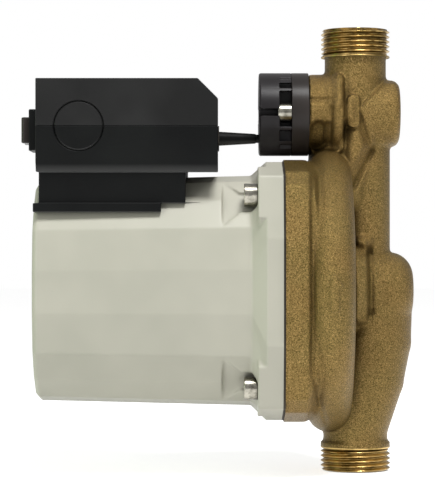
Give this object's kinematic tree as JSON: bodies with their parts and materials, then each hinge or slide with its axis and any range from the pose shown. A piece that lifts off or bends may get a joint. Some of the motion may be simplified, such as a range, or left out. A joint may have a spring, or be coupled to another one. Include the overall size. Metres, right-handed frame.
{
  "type": "shower pump",
  "caption": "Inline shower booster pump with a bronze housing, male port threads, a wet rotor motor, a terminal box and a flow switch.",
  "frame": {"origin": "centre of the inlet port's face, on the port axis", "axes": "+Z along the port axis from inlet to outlet, -X along the motor axis towards the motor's closed end"},
  "size_m": [0.1485, 0.1095, 0.1674],
  "materials": {
    "cast_bronze": "sand-cast bronze, dull, with machined port threads",
    "casing_paint": "pale grey-green satin paint on cast aluminium",
    "black_plastic": "fine-grained black moulding",
    "gloss_black_plastic": "smooth black moulding",
    "screw_steel": "zinc-plated steel",
    "stainless": "pressed stainless steel",
    "gasket_rubber": "black sealing rubber",
    "bearing_carbon": "carbon bearing",
    "lamination_steel": "stacked laminations",
    "winding_copper": "enamelled copper wire",
    "lead_insulation": "wire insulation",
    "impeller_plastic": "glass-filled plastic",
    "brass_turned": "turned brass",
    "valve_rubber": "moulded valve disc",
    "float_plastic": "natural plastic",
    "magnet_ferrite": "sintered ferrite",
    "terminal_plastic": "white terminal moulding",
    "capacitor_can": "pale plastic can",
    "reed_capsule": "potted reed capsule"
  },
  "bodies": {
    "root": {"pump_housing": "cast_bronze", "wear_ring": "stainless", "housing_gasket": "gasket_rubber", "bearing_plate": "stainless", "front_bearing": "bearing_carbon", "rotor_can": "stainless", "rear_bearing": "bearing_carbon", "stator_core": "lamination_steel", "stator_windings": "winding_copper", "motor_casing": "casing_paint", "casing_screws": "screw_steel", "vent_screw": "brass_turned", "vent_seal": "gasket_rubber", "motor_leads": "lead_insulation", "bypass_seat": "stainless", "bypass_guide": "stainless", "terminal_base": "black_plastic", "terminal_lid": "black_plastic", "lid_gasket": "gasket_rubber", "lid_screws": "screw_steel", "base_screws": "screw_steel", "terminal_block": "terminal_plastic", "terminal_screws": "brass_turned", "capacitor": "capacitor_can", "rocker_frame": "black_plastic", "gland_body": "black_plastic", "gland_seal": "gasket_rubber", "gland_nut": "black_plastic", "flow_switch_base": "black_plastic", "flow_switch_cover": "gloss_black_plastic", "flow_switch_screws": "screw_steel", "reed_switch": "reed_capsule", "flow_switch_lead": "gasket_rubber", "lead_grommet": "gasket_rubber"},
    "rotor": {"rotor_shaft": "stainless", "rotor_core": "stainless", "thrust_washer": "bearing_carbon", "impeller": "impeller_plastic", "impeller_nut": "brass_turned"},
    "switch_rocker": {"rocker": "gloss_black_plastic"},
    "bypass_valve": {"bypass_poppet": "valve_rubber"},
    "flow_sensor": {"flow_shuttle": "float_plastic", "shuttle_magnet": "magnet_ferrite"}
  },
  "joints": [
    {"name": "rotor_spin", "type": "hinge", "parent": "root", "child": "rotor", "pos_m": [0, 0, 0.0684], "axis": [1, 0, 0], "continuous": true},
    {"name": "rocker_tilt", "type": "hinge", "parent": "root", "child": "switch_rocker", "pos_m": [-0.121, 0, 0.12895], "axis": [0, 0, 1], "range_deg": [-10, 10]},
    {"name": "bypass_lift", "type": "slide", "parent": "root", "child": "bypass_valve", "axis": [0, 0, 1], "range_m": [0, 0.004]},
    {"name": "shuttle_lift", "type": "slide", "parent": "root", "child": "flow_sensor", "axis": [0, 0, 1], "range_m": [0, 0.006]}
  ]
}
